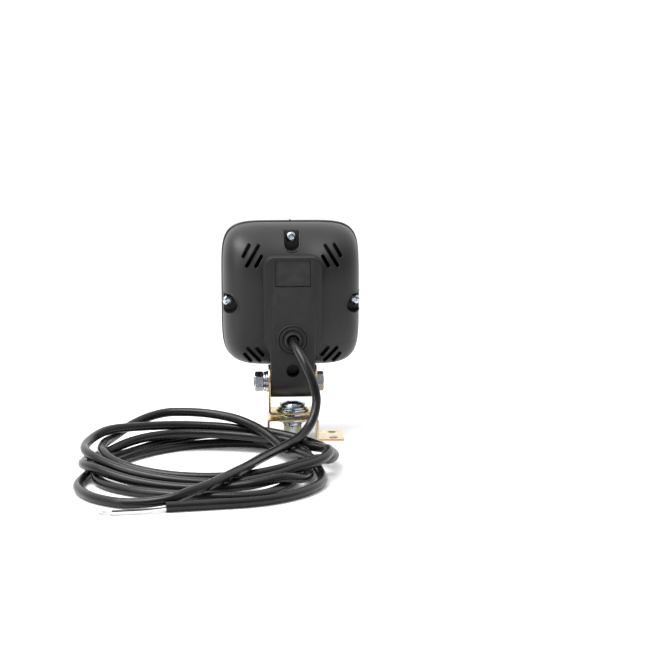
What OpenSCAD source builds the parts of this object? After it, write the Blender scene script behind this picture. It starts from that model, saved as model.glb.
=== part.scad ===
// Square fog lamp on a tilting yoke, a swivel bolt and a hat-section foot.
// X is across the lamp, the lens faces +Y, Z is up. Z = 0 is the foot's underside, and
// the swivel axis is X = Y = 0.

/* [Housing] */
// Width of the back housing at its rim
housing_w = 102.6; // [100:0.2:108]
// Height of the back housing at its rim
housing_h = 106; // [104:0.2:112]
// Depth of the domed back, rim to crown
housing_d = 40; // [38:0.5:42]
// Height of the housing's centre above the table
housing_z = 106; // [105:0.5:108]
// Wall thickness of the plastic shell
wall = 2.5; // [2:0.1:3]

/* [Spine and leg] */
// Width of the flat spine on the back
spine_w = 42.8; // [40:0.2:44]
// Height of the spine's top edge above the table
spine_top = 136; // [132:0.5:138]
// Width of the leg that sits in the yoke
leg_w = 32.6; // [31:0.1:32.6]
// Height of the cable grommet above the table
grommet_z = 75.3; // [74:0.1:77]
// Outer diameter of the grommet's flange
grommet_d = 23.4; // [20:0.2:24]

/* [Front] */
// How far the bezel stands proud of the housing
bezel_proud = 0.9; // [0.6:0.1:1.4]
// Depth of the bezel
bezel_d = 10.5; // [10:0.1:12]
// Thickness of the glass lens
lens_t = 2.8; // [2.4:0.1:3.2]
// How far the lens bulges
lens_bulge = 6; // [5:0.5:8]

/* [Brackets] */
// Thickness of the bracket steel
steel = 1.5; // [1.4:0.1:1.6]
// Outside width of the yoke
yoke_w = 36; // [36:0.1:36.4]
// Depth of the yoke's strip
yoke_d = 25; // [24:0.5:26]
// Height of the tilt axis above the table
tilt_z = 42.7; // [42:0.1:44]
// Length of the foot, tip to tip
foot_l = 75; // [72:1:80]
// Depth of the foot's strip
foot_d = 32; // [30:1:34]
// Outside width of the foot's raised middle
foot_mid_w = 38; // [36:0.5:40]
// Height of the foot's top plate above the table
foot_h = 17; // [16.8:0.1:17.2]
// Hole spacing along the foot
hole_dx = 60; // [58:0.5:62]
// Hole spacing across the foot
hole_dy = 20; // [16:0.5:22]
// Diameter of the foot's mounting holes
hole_d = 6.5; // [5:0.1:7]

/* [Bolts] */
// Thread diameter of the swivel bolt and the tilt bolt
bolt_d = 8; // [8:0.1:8]
// Diameter of the swivel bolt's cup head
cup_d = 20; // [18:0.5:21]
// Outer diameter of the penny washers
penny_d = 24; // [22:0.5:25]
// Hexagon size of the nuts and the bolt head, across flats
hex_af = 13; // [13:0.1:13]

/* [Cord] */
// Outer diameter of the two-core lead
cord_d = 6.5; // [6:0.1:7]
// Outer radius of the loose coil
coil_r = 82; // [78:1:84]
// Height of the loose coil
coil_h = 20; // [18:1:22]

/* [Hidden] */

$fn = 48;
slack = 0.05;             // running gap between parts that turn on each other
rim_y = 33;               // rear edge of the bezel, front edge of the housing
spine_y = -12;            // flat back face of the spine and the leg
knuckle_r = 11.8;         // round end of the leg about the tilt axis
rim_square = 5.7;         // squareness of the rim outline
back_square = 3.2;        // squareness of the outline near the crown
outline_count = 64;
sleeve_r = 6;
core_d = 2;

// Case screws: X and Z of each, and of the round pocket that it sits in
screws = [[0, 149], [-47.3, 102], [47.3, 102]];
pockets = [[0, 145], [-46.2, 99.6], [46.2, 99.6]];
pocket_r = [5.6, 6.1, 6.1];
pocket_top = 153.6;       // where the top pocket runs out through the dome
mouth_z = 103.3;          // middle of the gap where a side pocket opens outwards
mouth_r = 4.8;
pocket_wall_t = 1.6;
pocket_back = -20;        // behind the housing, where the pocket cutters start
pocket_seat = 14.5;       // Y of the face that a screw head sits on
head_r = 4;
screw_r = 2;
boss_r = 3.2;
rib_w = 2.4;              // rib between the bezel and its top boss

// Vent slots, as X and Z of both ends from the housing's centre, for the right half
vent_w = 2.7;
upper_vents = [[31.5, 38.1, 35.8, 30.3], [24.7, 37.5, 33.4, 23.4], [22.6, 30.2, 26.6, 23.3]];
lower_vents = [[35.3, -42.7, 30.8, -48.2], [32.9, -38, 24, -47.9], [26.2, -37.8, 21.8, -43.2]];

// Heights in the swivel stack
cup_seat = foot_h + 2.5 + steel + 3;
yoke_base = foot_h + 2.5;
dish_h = 3.15;
spring_t = 2;
nut_t = 6.8;
hex_head_t = 5.3;
tilt_nut_t = 6.5;

// The lead's route from the grommet, over the coil and round its front and left side
lead_route = [
    [0, -17.2, 75.3], [0, -24.5, 75.3], [3, -34.5, 71], [7.6, -43, 62.5], [12.6, -48.5, 51],
    [15, -51.5, 40], [14, -56, 32], [12, -60, 26.5], [8, -65, 20.5], [2, -73, 16],
    [-4, -82, 14], [-11, -92, 13], [-25, -122, 13], [-39, -155, 13], [-56, -182, 11.5],
    [-72, -198, 9.5], [-87, -204, 6], [-104, -203, 4], [-120, -197, 3.4],
    [-136, -181, 3.3], [-145, -152, 3.3], [-147, -130, 3.3], [-140, -108, 3.3]
];
tail_route = [
    [12, -150, 3.3], [4, -172, 3.3], [-12, -190, 3.3], [-32, -201, 3.3],
    [-56, -206, 3.3], [-87, -211, 3.3]
];
coil_at = [-62, -110];
coil_hole = 48;
core_route_a = [[-86, -212.3, 2.2], [-100, -215, 1.3], [-114, -216.5, 1.1], [-121, -217, 1.1]];
core_route_b = [[-86, -209.4, 2.2], [-100, -210.5, 1.3], [-112, -211.5, 1.1], [-120, -212, 1.1]];
tip_l = 7;

// Inner wiring, from the sheath's end to the bulb
wire_route_a = [[1.4, -7, 75.3], [1.6, -5, 76], [6, -4, 84], [6, -3.2, 94], [3, -3.2, 100.4]];
wire_route_b = [[-1.4, -7, 75.3], [-1.6, -5, 76], [-6, -4, 84], [-8, -1, 90], [-8, 0, 95]];

function signed_pow(v, e) = sign(v) * pow(abs(v), e);
function mix(a, b, t) = a + (b - a) * t;
function unit(v) = v / norm(v);
function average(list, i = 0, total = [0, 0, 0]) =
    i == len(list) ? total / len(list) : average(list, i + 1, total + list[i]);

// Rounded square of half sizes a and b; a higher n is squarer
function squircle(a, b, n) = [
    for (i = [0 : outline_count - 1])
        let (t = 360 * i / outline_count)
        [a * signed_pow(cos(t), 2 / n), b * signed_pow(sin(t), 2 / n)]
];

// Fullness of the dome in direction t: softer over the top, boxier below
function fullness(t) = sin(t) >= 0 ? mix(4, 2.1, pow(sin(t), 2)) : mix(4, 4.6, pow(sin(t), 2));

// One ring of the domed back, from 0 degrees at the rim to 90 at the crown
function dome_ring(a, b, d, phi) = [
    for (i = [0 : outline_count - 1])
        let (
            t = 360 * i / outline_count,
            e = 2 / fullness(t),
            s = pow(cos(phi), e),
            n = mix(rim_square, back_square, sin(phi))
        )
        [
            a * s * signed_pow(cos(t), 2 / n),
            rim_y - d * pow(sin(phi), e),
            housing_z + b * s * signed_pow(sin(t), 2 / n)
        ]
];

function dome_rings(a, b, d, lead) = [
    [for (p = dome_ring(a, b, d, 0)) p + [0, lead, 0]],
    for (phi = [8, 18, 28, 38, 48, 58, 68, 76, 83]) dome_ring(a, b, d, phi)
];

// Closed solid through a list of rings with equal point counts
module loft(rings) {
    n = len(rings[0]);
    m = len(rings);
    points = concat(
        [for (ring = rings) for (p = ring) p],
        [average(rings[0]), average(rings[m - 1])]
    );
    sides = [
        for (k = [0 : m - 2], i = [0 : n - 1])
            let (j = (i + 1) % n, a = k * n, b = a + n)
            each [[a + i, b + j, a + j], [a + i, b + i, b + j]]
    ];
    ends = [
        for (i = [0 : n - 1])
            let (j = (i + 1) % n, last = (m - 1) * n)
            each [[m * n, i, j], [m * n + 1, last + j, last + i]]
    ];
    polyhedron(points = points, faces = concat(sides, ends), convexity = 6);
}

// Direction of a route at point i
function heading(route, i) =
    unit(route[min(i + 1, len(route) - 1)] - route[max(i - 1, 0)]);

// Side direction at each point, carried along so that the tube never twists
function side_vectors(route, i = 0, last = [0, 0, 1]) =
    i == len(route)
        ? []
        : let (h = heading(route, i), side = unit(last - (last * h) * h))
            concat([side], side_vectors(route, i + 1, side));

// Ring of a swept round tube at point i
function tube_ring(route, i, side, r, facets) =
    let (up = cross(side, heading(route, i)))
    [for (k = [0 : facets - 1]) route[i] + r * (cos(360 * k / facets) * side + sin(360 * k / facets) * up)];

module sweep(route, d, facets) {
    sides = side_vectors(route);
    loft([for (i = [0 : len(route) - 1]) tube_ring(route, i, sides[i], d / 2, facets)]);
}

// Flat prism of a rounded square, from y0 to y1
module slab(a, b, n, y0, y1) {
    translate([0, y1, housing_z])
        rotate([90, 0, 0])
            linear_extrude(height = y1 - y0)
                polygon(squircle(a, b, n));
}

// Cylinder along +Y from y0 to y1
module rod_y(x, z, r, y0, y1) {
    translate([x, y1, z])
        rotate([90, 0, 0])
            cylinder(r = r, h = y1 - y0);
}

// Cylinder along +X from x0 to x1 on the tilt axis
module rod_x(r, x0, x1) {
    translate([x0, 0, tilt_z])
        rotate([0, 90, 0])
            cylinder(r = r, h = x1 - x0);
}

// Slot with round ends along a line in the XZ plane, cut along Y
module slot_y(x1, z1, x2, z2, w, y0, y1) {
    length = norm([x2 - x1, z2 - z1]);
    translate([x1, y1, z1])
        rotate([90, 0, 0])
            rotate([0, 0, atan2(z2 - z1, x2 - x1)])
                linear_extrude(height = y1 - y0) {
                    translate([0, -w / 2])
                        square([length, w]);
                    circle(d = w, $fn = 16);
                    translate([length, 0])
                        circle(d = w, $fn = 16);
                }
}

// Hexagonal prism, z up
module hexagon(af, h) {
    cylinder(d = af / cos(30), h = h, $fn = 6);
}

// Outline of the spine and leg, seen along Y; grow widens the pad
module spine_outline(grow, top_grow) {
    half = spine_w / 2 + grow;
    top = spine_top + top_grow;
    corner = 7.5 + grow;
    neck_top = 73.5;
    neck_low = 64.5;
    translate([-half + corner, top - 2 * corner])
        square([2 * (half - corner), 2 * corner]);
    for (side = [-1, 1])
        translate([side * (half - corner), top - corner])
            circle(r = corner);
    translate([-half, neck_top])
        square([2 * half, top - corner - neck_top]);
    polygon([
        [-half, neck_top], [half, neck_top], [leg_w / 2 + 1.5, neck_low + 2],
        [leg_w / 2, neck_low], [-leg_w / 2, neck_low], [-leg_w / 2 - 1.5, neck_low + 2]
    ]);
    translate([-leg_w / 2, tilt_z])
        square([leg_w, neck_low - tilt_z]);
}

module spine_block(y0, y1, grow, top_grow) {
    translate([0, y1, 0])
        rotate([90, 0, 0])
            linear_extrude(height = y1 - y0)
                spine_outline(grow, top_grow);
}

// Recess down to a screw's seat: the top one is a U open upwards, the others open to the side
module pocket(i, grow, end) {
    r = pocket_r[i] + grow;
    depth = end - pocket_back;
    rod_y(pockets[i][0], pockets[i][1], r, pocket_back, end);
    if (i == 0)
        translate([-r, pocket_back, pockets[i][1]])
            cube([2 * r, depth, pocket_top + grow - pockets[i][1]]);
    else {
        rod_y(screws[i][0], mouth_z, mouth_r + grow, pocket_back, end);
        translate([i == 1 ? -54 : screws[i][0], pocket_back, mouth_z - mouth_r - grow])
            cube([54 - abs(screws[i][0]), depth, 2 * (mouth_r + grow)]);
    }
}

module outer_shell() {
    loft(dome_rings(housing_w / 2, housing_h / 2, housing_d, 0));
}

module housing() {
    color([0.16, 0.16, 0.17])
        difference() {
            union() {
                difference() {
                    union() {
                        outer_shell();
                        spine_block(spine_y, spine_y + 14, 0, 0);
                    }
                    // Hollow of the dome and of the spine
                    loft(dome_rings(housing_w / 2 - wall, housing_h / 2 - wall, housing_d - wall, 1));
                    intersection() {
                        spine_block(spine_y + wall, 10, -wall, -wall);
                        translate([-50, -30, 62])
                            cube([100, 60, 80]);
                    }
                }
                // Walls round the pockets, and the posts that the screws run through
                for (i = [0 : 2]) {
                    intersection() {
                        outer_shell();
                        union() {
                            pocket(i, pocket_wall_t, pocket_seat + 2);
                            rod_y(screws[i][0], screws[i][1], 4.3, pocket_seat, rim_y);
                        }
                    }
                }
                // Leg down to the knuckle
                translate([-leg_w / 2, spine_y, tilt_z])
                    cube([leg_w, -2 * spine_y, 20]);
                rod_x(knuckle_r, -leg_w / 2, leg_w / 2);
            }
            for (i = [0 : 2]) {
                pocket(i, 0, pocket_seat);
                rod_y(screws[i][0], screws[i][1], screw_r + 0.2, 0, rim_y + 1);
            }
            for (side = [-1, 1])
                for (v = concat(upper_vents, lower_vents))
                    slot_y(side * v[0], housing_z + v[1], side * v[2], housing_z + v[3], vent_w, -14, 20);
            // Blank label recess
            translate([-13, spine_y - 1, 114.6])
                cube([26.3, 2.2, 19.6]);
            // Cable grommet, sleeve bore and the round pocket above it
            rod_y(0, grommet_z, 8, spine_y - 1, spine_y + 6);
            rod_x(sleeve_r, -leg_w, leg_w);
            rod_y(0, 52.4, 4.85, spine_y - 1, 2);
        }
}

// Front rim frame with three screw bosses
module bezel() {
    a = housing_w / 2 + bezel_proud;
    b = housing_h / 2 + bezel_proud;
    front = rim_y + bezel_d;
    color([0.14, 0.14, 0.15])
        difference() {
            union() {
                difference() {
                    slab(a, b, rim_square, rim_y, front);
                    slab(a - 2.7, b - 2.7, rim_square, rim_y - 1, front - 1.5);
                    slab(a - 7, b - 7, rim_square, rim_y - 1, front + 1);
                }
                for (s = screws)
                    rod_y(s[0], s[1], boss_r, rim_y, rim_y + 5.3);
                translate([-rib_w / 2, rim_y, screws[0][1]])
                    cube([rib_w, 5.3, 9]);
            }
            for (s = screws)
                rod_y(s[0], s[1], screw_r, rim_y - 1, rim_y + 5);
        }
}

// Glass lens with a flat edge and a shallow bulge
module lens() {
    a = housing_w / 2 + bezel_proud;
    b = housing_h / 2 + bezel_proud;
    back = rim_y + 5.5;
    face = back + 2.5;
    color([0.85, 0.9, 0.92, 0.5])
        difference() {
            union() {
                slab(a - 3, b - 3, rim_square, back, face);
                bulge(a - 7.3, b - 7.3, face - 0.5, lens_bulge + 1);
            }
            bulge(a - 7.3 - lens_t, b - 7.3 - lens_t, back - 0.5, lens_bulge + 3.5 - lens_t);
        }
}

module bulge(a, b, y0, d) {
    loft([
        for (phi = [0, 12, 24, 36, 48, 60, 72, 82])
            let (s = pow(cos(phi), 0.8), y = y0 + d * sin(phi))
            [for (p = squircle(a * s, b * s, mix(rim_square, 2.6, sin(phi)))) [p[0], y, housing_z - p[1]]]
    ]);
}

module lens_gasket() {
    a = housing_w / 2 + bezel_proud;
    b = housing_h / 2 + bezel_proud;
    color([0.08, 0.08, 0.08])
        difference() {
            slab(a - 3, b - 3, rim_square, rim_y + 8, rim_y + 9);
            slab(a - 6.6, b - 6.6, rim_square, rim_y + 7, rim_y + 10);
        }
}

// Pressed paraboloid with a flat rim
module reflector() {
    focal = 10;
    vertex_y = 0.5;
    mouth_r = 36.5;
    skin = 0.9;
    radii = [for (i = [1 : 7]) mix(0, mouth_r, i / 7) + (i == 1 ? 0.8 : 0)];
    inner = [for (r = radii) [r, r * r / (4 * focal)]];
    outer = [for (i = [len(radii) - 1 : -1 : 0]) [radii[i] + skin * 0.7, radii[i] * radii[i] / (4 * focal) - skin * 0.8]];
    rim = mouth_r * mouth_r / (4 * focal) + vertex_y;
    color([0.85, 0.84, 0.8]) {
        translate([0, vertex_y, housing_z])
            rotate([-90, 0, 0])
                rotate_extrude($fn = 72)
                    polygon(concat(inner, outer));
        difference() {
            slab(housing_w / 2 - 2.8, housing_h / 2 - 2.8, rim_square, rim_y + 0.1, rim + 0.9);
            rod_y(0, housing_z, mouth_r, rim_y - 2, rim_y + 4);
            for (s = screws)
                rod_y(s[0], s[1], boss_r + 0.8, rim_y - 2, rim_y + 4);
            // Room for the rib that holds the bezel's top boss
            translate([-rib_w / 2 - 0.5, rim_y - 2, screws[0][1]])
                cube([rib_w + 1, 6, 11]);
        }
    }
}

// Halogen capsule bulb: metal base, glass and its wire clip
module bulb_base() {
    color([0.75, 0.72, 0.6])
        translate([0, 0, housing_z])
            rotate([-90, 0, 0])
                rotate_extrude()
                    polygon([[0, -5], [4.6, -5], [4.6, -1.6], [8.8, -1.6], [8.8, -0.4], [5.4, -0.4], [5.4, 4], [0, 4]]);
}

module bulb_glass() {
    color([0.9, 0.92, 0.95, 0.5])
        translate([0, 4, housing_z])
            rotate([-90, 0, 0])
                rotate_extrude()
                    polygon([[0, 0], [4.2, 0], [4.6, 2], [4.6, 14], [3.6, 17.4], [1.6, 19.4], [0, 20]]);
}

module bulb_clip() {
    y = -2.3;
    z = housing_z;
    color([0.7, 0.7, 0.72])
        sweep([
            [-13, y, z - 3], [-9, y, z - 6.5], [-7, y, z - 5], [-7, y, z + 4], [-5, y, z + 6.5],
            [5, y, z + 6.5], [7, y, z + 4], [7, y, z - 5], [9, y, z - 6.5], [13, y, z - 3]
        ], 1.2, 8);
}

module wire_live() {
    color([0.85, 0.85, 0.85])
        sweep(wire_route_a, core_d, 12);
}

module wire_earth() {
    color([0.08, 0.08, 0.08])
        sweep(wire_route_b, core_d, 12);
}

module spade_terminals() {
    color([0.8, 0.7, 0.35]) {
        translate([0, -4.8, 100.4])
            cube([6, 3.2, 0.8]);
        translate([-10.5, -0.4, 95])
            cube([5, 0.8, 6.3]);
    }
}

module grommet() {
    r = grommet_d / 2;
    color([0.1, 0.1, 0.1])
        translate([0, spine_y, grommet_z])
            rotate([90, 0, 0])
                rotate_extrude()
                    polygon([
                        [cord_d / 2, -5.5], [9.6, -5.5], [9.6, -wall - 0.1], [7.9, -wall],
                        [7.9, 0], [r, 0], [r, 0.9], [r - 0.5, 1.3], [10.4, 1.3], [10, 0.6],
                        [9.6, 1.3], [6, 1.1], [5.6, 2.2], [5, 5.2], [cord_d / 2, 5.2]
                    ]);
}

// Sheath inside the grommet and the spine
module inner_sheath() {
    color([0.12, 0.12, 0.13])
        rod_y(0, grommet_z, cord_d / 2, spine_y - 5.2, -6);
}

module case_screws() {
    shank_l = rim_y + 4.8 - pocket_seat;
    color([0.82, 0.84, 0.86])
        for (s = screws)
            translate([s[0], pocket_seat, s[1]])
                rotate([-90, 0, 0])
                    difference() {
                        rotate_extrude()
                            polygon([
                                [0, -2.8], [2.4, -2.7], [3.5, -2.1], [head_r, -1.1], [head_r, 0],
                                [screw_r, 0], [screw_r, shank_l - 1], [0, shank_l]
                            ]);
                        for (turn = [20, 110])
                            rotate([0, 0, turn])
                                translate([-2.2, -0.4, -3.5])
                                    cube([4.4, 0.8, 2.2]);
                    }
}

module leg_sleeve() {
    color([0.75, 0.75, 0.72])
        difference() {
            rod_x(sleeve_r, -leg_w / 2, leg_w / 2);
            rod_x(bolt_d / 2 + slack, -leg_w, leg_w);
        }
}

// U-shaped strip with round ends about the tilt axis
module yoke() {
    half = yoke_w / 2;
    bend = 3;
    color([0.8, 0.72, 0.45])
        difference() {
            union() {
                translate([-half + bend, -yoke_d / 2, yoke_base])
                    cube([2 * (half - bend), yoke_d, steel]);
                for (side = [-1, 1]) {
                    // Bend between the base and an arm
                    translate([side * (half - bend), 0, yoke_base + bend])
                        rotate([90, 0, 0])
                            intersection() {
                                difference() {
                                    cylinder(r = bend, h = yoke_d, center = true);
                                    cylinder(r = bend - steel, h = yoke_d + 1, center = true);
                                }
                                translate([side > 0 ? 0 : -bend, -bend, -yoke_d])
                                    cube([bend, bend, 2 * yoke_d]);
                            }
                    translate([side > 0 ? half - steel : -half, -yoke_d / 2, yoke_base + bend])
                        cube([steel, yoke_d, tilt_z - yoke_base - bend]);
                    rod_x(yoke_d / 2, side > 0 ? half - steel : -half, side > 0 ? half : -half + steel);
                }
            }
            rod_x(bolt_d / 2, -yoke_w, yoke_w);
            translate([-bolt_d / 2, -bolt_d / 2, yoke_base - 1])
                cube([bolt_d, bolt_d, steel + 2]);
        }
}

// Cup head, square neck and shank
module swivel_bolt() {
    color([0.82, 0.84, 0.86]) {
        translate([0, 0, cup_seat])
            rotate_extrude()
                polygon([
                    [0, 0], [cup_d / 2 - 0.4, 0], [cup_d / 2, 0.5], [cup_d / 2 - 0.3, 1.2],
                    [8.3, 2.4], [6.2, 3.5], [3.6, 4.2], [0, 4.5]
                ]);
        translate([-bolt_d / 2, -bolt_d / 2, yoke_base])
            cube([bolt_d, bolt_d, cup_seat - yoke_base]);
        translate([0, 0, 1.6])
            cylinder(d = bolt_d, h = yoke_base - 1.6);
    }
}

module ring(outer_r, inner_r, z0, h) {
    translate([0, 0, z0])
        difference() {
            cylinder(r = outer_r, h = h);
            translate([0, 0, -1])
                cylinder(r = inner_r, h = h + 2);
        }
}

module head_washers() {
    neck_r = bolt_d / sqrt(2) + 0.1;
    color([0.8, 0.82, 0.85]) {
        ring(penny_d / 2, neck_r, yoke_base + steel, 1.6);
        ring(11, neck_r, yoke_base + steel + 1.6, 1.4);
    }
}

module swivel_washer() {
    color([0.8, 0.82, 0.85])
        ring(penny_d / 2 - 0.5, bolt_d / 2 + 0.2, foot_h + slack, 2.5 - slack);
}

module dish_washer() {
    top = foot_h - steel - slack;
    color([0.8, 0.82, 0.85])
        translate([0, 0, top - dish_h])
            rotate_extrude()
                polygon([[bolt_d / 2 + 0.2, 0], [9.5, 0], [11.8, 0.9], [13.2, dish_h - 1], [13.2, dish_h], [bolt_d / 2 + 0.2, dish_h]]);
}

// Split spring washer about Z, from z = 0
module split_washer() {
    difference() {
        ring(7.4, bolt_d / 2 + 0.1, 0, spring_t);
        rotate([0, 0, 200])
            translate([3, -0.5, -1])
                cube([6, 1, spring_t + 2]);
    }
}

module swivel_spring_washer() {
    color([0.75, 0.77, 0.8])
        translate([0, 0, foot_h - steel - slack - dish_h - spring_t])
            split_washer();
}

module swivel_nut() {
    color([0.82, 0.84, 0.86])
        translate([0, 0, foot_h - steel - slack - dish_h - spring_t - nut_t])
            difference() {
                hexagon(hex_af, nut_t);
                translate([0, 0, -1])
                    cylinder(d = bolt_d, h = nut_t + 2);
            }
}

module tilt_bolt() {
    color([0.82, 0.84, 0.86]) {
        rod_x(bolt_d / 2, -29, yoke_w / 2);
        translate([yoke_w / 2, 0, tilt_z])
            rotate([0, 90, 0])
                rotate([0, 0, 8])
                    hexagon(hex_af, hex_head_t);
    }
}

module tilt_washer() {
    color([0.8, 0.82, 0.85])
        translate([-yoke_w / 2 - 1.6, 0, tilt_z])
            rotate([0, 90, 0])
                ring(8, bolt_d / 2 + 0.2, 0, 1.6);
}

module tilt_spring_washer() {
    color([0.75, 0.77, 0.8])
        translate([-yoke_w / 2 - 1.6 - spring_t, 0, tilt_z])
            rotate([0, 90, 0])
                split_washer();
}

module tilt_nut() {
    color([0.82, 0.84, 0.86])
        translate([-yoke_w / 2 - 1.6 - spring_t - tilt_nut_t, 0, tilt_z])
            rotate([0, 90, 0])
                rotate([0, 0, 24])
                    difference() {
                        hexagon(hex_af, tilt_nut_t);
                        translate([0, 0, -1])
                            cylinder(d = bolt_d, h = tilt_nut_t + 2);
                    }
}

// Quarter of a bend about Y; turn sets which quarter
module bend_quarter(x, z, r, turn) {
    translate([x, 0, z])
        rotate([90, turn, 0])
            intersection() {
                difference() {
                    cylinder(r = r, h = foot_d, center = true);
                    cylinder(r = r - steel, h = foot_d + 1, center = true);
                }
                translate([0, 0, -foot_d])
                    cube([r, r, 2 * foot_d]);
            }
}

module foot() {
    half = foot_mid_w / 2;
    bend = 2.5;
    color([0.82, 0.73, 0.45])
        difference() {
            union() {
                translate([-half + bend, -foot_d / 2, foot_h - steel])
                    cube([2 * (half - bend), foot_d, steel]);
                for (side = [0, 1])
                    mirror([side, 0, 0]) {
                        bend_quarter(half - bend, foot_h - bend, bend, 0);
                        translate([half - steel, -foot_d / 2, bend])
                            cube([steel, foot_d, foot_h - 2 * bend]);
                        mirror([1, 0, 0])
                            mirror([0, 0, 1])
                                bend_quarter(-half - bend + steel, -bend, bend, 0);
                        translate([half + bend - steel, -foot_d / 2, 0])
                            cube([foot_l / 2 - half - bend + steel, foot_d, steel]);
                    }
            }
            cylinder_hole(0, 0, bolt_d / 2 + slack, foot_h - steel - 1, steel + 2);
            for (x = [-1, 1], y = [-1, 1])
                cylinder_hole(x * hole_dx / 2, y * hole_dy / 2, hole_d / 2, -1, steel + 2);
        }
}

module cylinder_hole(x, y, r, z, h) {
    translate([x, y, z])
        cylinder(r = r, h = h);
}

module cord_lead() {
    color([0.13, 0.13, 0.14])
        sweep(lead_route, cord_d, 10);
}

module cord_coil() {
    color([0.13, 0.13, 0.14])
        translate([coil_at[0], coil_at[1], 0])
            rotate_extrude($fn = 72)
                polygon([
                    [coil_hole, 2], [coil_hole + 3, 0], [coil_r - 3, 0], [coil_r, 3],
                    [coil_r, coil_h - 4], [coil_r - 5, coil_h], [coil_hole + 5, coil_h],
                    [coil_hole, coil_h - 4]
                ]);
}

module cord_tail() {
    color([0.13, 0.13, 0.14])
        sweep(tail_route, cord_d, 10);
}

module core_live() {
    color([0.9, 0.9, 0.9])
        sweep(core_route_a, core_d, 8);
}

module core_earth() {
    color([0.06, 0.06, 0.06])
        sweep(core_route_b, core_d, 8);
}

// Tinned ends of the two cores
module core_tips() {
    color([0.75, 0.75, 0.76])
        for (route = [core_route_a, core_route_b]) {
            end = route[len(route) - 1];
            translate(end)
                rotate([0, -90, 0])
                    cylinder(d = 1.4, h = tip_l, $fn = 16);
        }
}

housing();
bezel();
lens();
lens_gasket();
reflector();
bulb_base();
bulb_glass();
bulb_clip();
wire_live();
wire_earth();
spade_terminals();
grommet();
inner_sheath();
case_screws();
leg_sleeve();
yoke();
swivel_bolt();
head_washers();
swivel_washer();
dish_washer();
swivel_spring_washer();
swivel_nut();
tilt_bolt();
tilt_washer();
tilt_spring_washer();
tilt_nut();
foot();
cord_lead();
cord_coil();
cord_tail();
core_live();
core_earth();
core_tips();
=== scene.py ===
"""Looks for the square fog lamp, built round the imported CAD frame.

Lengths in the builders below are millimetres in the row frame, and mesh_object() turns them into metres.
X is across the lamp, the lens faces +Y, Z is up, and the swivel axis is X = Y = 0.
"""

import math

import bmesh
import bpy
import numpy as np
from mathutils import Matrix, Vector
from mathutils.bvhtree import BVHTree


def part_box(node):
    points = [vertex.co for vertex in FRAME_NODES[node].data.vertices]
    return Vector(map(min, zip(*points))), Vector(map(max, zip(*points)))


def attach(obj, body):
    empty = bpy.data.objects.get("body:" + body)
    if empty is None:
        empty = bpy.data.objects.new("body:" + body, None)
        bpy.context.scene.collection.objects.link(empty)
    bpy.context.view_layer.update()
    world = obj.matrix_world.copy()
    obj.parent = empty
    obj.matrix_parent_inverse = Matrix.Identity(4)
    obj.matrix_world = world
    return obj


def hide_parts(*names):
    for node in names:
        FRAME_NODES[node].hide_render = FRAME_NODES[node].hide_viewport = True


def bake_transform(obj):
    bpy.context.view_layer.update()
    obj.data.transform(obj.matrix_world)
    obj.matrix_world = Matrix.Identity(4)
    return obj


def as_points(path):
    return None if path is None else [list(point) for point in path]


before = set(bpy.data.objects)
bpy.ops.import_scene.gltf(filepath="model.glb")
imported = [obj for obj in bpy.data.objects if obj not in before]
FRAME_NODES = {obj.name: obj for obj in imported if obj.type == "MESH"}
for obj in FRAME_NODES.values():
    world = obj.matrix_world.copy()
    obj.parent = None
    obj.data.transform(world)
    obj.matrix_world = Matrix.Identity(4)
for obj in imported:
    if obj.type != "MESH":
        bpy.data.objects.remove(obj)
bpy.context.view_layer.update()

MM = 0.001


# ---------------------------------------------------------------- camera

CAMERA_AT = (-0.0488, -1.1805, 0.2582)
CAMERA_TILT, CAMERA_PAN = 81.6, -3.6
FOCAL_LENGTH, SENSOR_WIDTH = 88.8, 36


def add_object(name, data):
    made = bpy.data.objects.new(name, data)
    bpy.context.scene.collection.objects.link(made)
    return made


def make_camera():
    data = bpy.data.cameras.new("camera")
    data.lens = FOCAL_LENGTH
    data.sensor_width = SENSOR_WIDTH
    data.clip_start = 0.01
    camera = add_object("camera", data)
    camera.location = CAMERA_AT
    camera.rotation_euler = (math.radians(CAMERA_TILT), 0, math.radians(CAMERA_PAN))
    bpy.context.scene.camera = camera


# ---------------------------------------------------------------- mesh helpers

def mesh_object(name, verts, faces, sharp=32):
    """A mesh piece from points in millimetres, welded, with normals out and smooth below the sharp angle."""
    mesh = bpy.data.meshes.new(name)
    points = [tuple(float(c) * MM for c in v) for v in verts]
    mesh.from_pydata(points, [], [tuple(map(int, f)) for f in faces])
    piece = add_object(name, mesh)
    tidy_mesh(mesh, sharp)
    return piece


def tidy_mesh(mesh, sharp=32):
    edit = bmesh.new()
    edit.from_mesh(mesh)
    bmesh.ops.remove_doubles(edit, verts=edit.verts, dist=1e-6)
    bmesh.ops.dissolve_degenerate(edit, edges=edit.edges, dist=1e-7)
    bmesh.ops.recalc_face_normals(edit, faces=edit.faces)
    edit.to_mesh(mesh)
    edit.free()
    mesh.polygons.foreach_set("use_smooth", [True] * len(mesh.polygons))
    mesh.set_sharp_from_angle(angle=math.radians(sharp))
    mesh.update()


def ring_faces(rows, count, closed=False):
    """Quads between rows of points, each row a closed ring of that count."""
    faces = []
    for k in range(rows if closed else rows - 1):
        a, b = k * count, (k + 1) % rows * count
        for i in range(count):
            j = (i + 1) % count
            faces.append((a + i, a + j, b + j, b + i))
    return faces


def loft(rings, closed=False):
    """Points and faces of a solid through rings: capped at both ends, or closed on itself like a tyre."""
    count = len(rings[0])
    verts = np.concatenate([np.asarray(r, float) for r in rings])
    faces = ring_faces(len(rings), count, closed)
    if not closed:
        faces.append(tuple(range(count)))
        faces.append(tuple(range(len(verts) - 1, len(verts) - 1 - count, -1)))
    return verts, faces


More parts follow.
